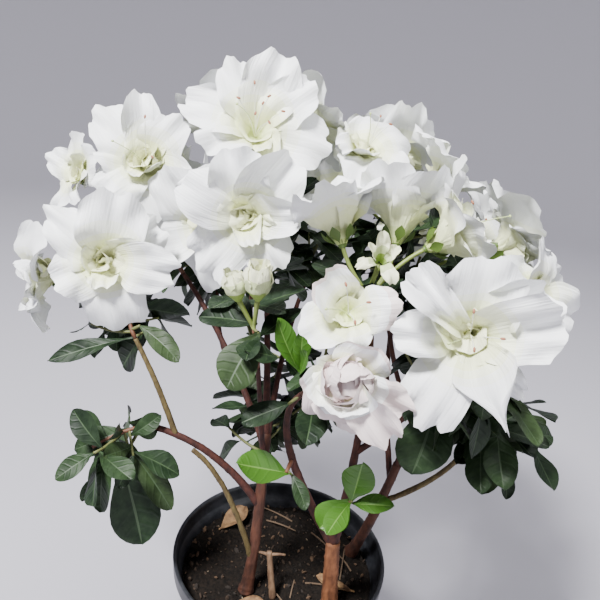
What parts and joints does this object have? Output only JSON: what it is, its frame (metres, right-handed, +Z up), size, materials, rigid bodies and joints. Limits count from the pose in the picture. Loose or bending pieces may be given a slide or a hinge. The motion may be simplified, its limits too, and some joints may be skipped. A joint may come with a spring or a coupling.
{
  "type": "flowering shrub in a pot",
  "caption": "Potted double-flowered azalea shrub: woody stems and boughs rise from a filled nursery pot and carry a dome of open blooms over small oval leaves.",
  "frame": {"origin": "centre of the pot's flat underside", "axes": "+Z up along the pot's axis, +X to the right of the plant's best side, +Y towards its back"},
  "size_m": [0.2903, 0.1953, 0.3617],
  "materials": {
    "pot_plastic": "smooth black moulded plastic, slightly shiny",
    "potting_mix": "dark moist peat with crumbs and pale flecks",
    "dry_leaf": "dry, curled, tan",
    "bark": "thin orange-brown bark on the stems, dark red on the boughs",
    "foliage": "dark green leaves, finely hairy, with a soft sheen",
    "blossom": "white ruffled petals, matt and slightly translucent, green in the throat"
  },
  "bodies": {
    "root": {"bough_back": "bark", "bough_back_left": "bark", "bough_back_right": "bark", "bough_bud": "bark", "bough_centre": "bark", "bough_crown": "bark", "bough_front": "bark", "bough_left": "bark", "bough_left_back": "bark", "bough_left_rise": "bark", "bough_low_right": "bark", "bough_pruned": "bark", "bough_right": "bark", "bough_right_back": "bark", "bough_right_front": "bark", "bough_top": "bark", "fallen_leaf_1": "dry_leaf", "fallen_leaf_2": "dry_leaf", "fallen_leaf_3": "dry_leaf", "mass_back": "blossom", "mass_back_left": "blossom", "mass_back_right": "blossom", "mass_bud": "foliage", "mass_centre": "blossom", "mass_crown": "blossom", "mass_front": "blossom", "mass_inner_right": "foliage", "mass_left_back": "blossom", "mass_left_front": "blossom", "mass_left_low": "foliage", "mass_low_back": "foliage", "mass_low_right": "foliage", "mass_right": "blossom", "mass_right_front": "blossom", "mass_sprig": "foliage", "mass_top": "blossom", "mass_umbel": "blossom", "pot": "pot_plastic", "potting_mix": "potting_mix", "stem_back": "bark", "stem_left": "bark", "stem_right": "bark", "stem_stub": "bark"}
  },
  "joints": []
}
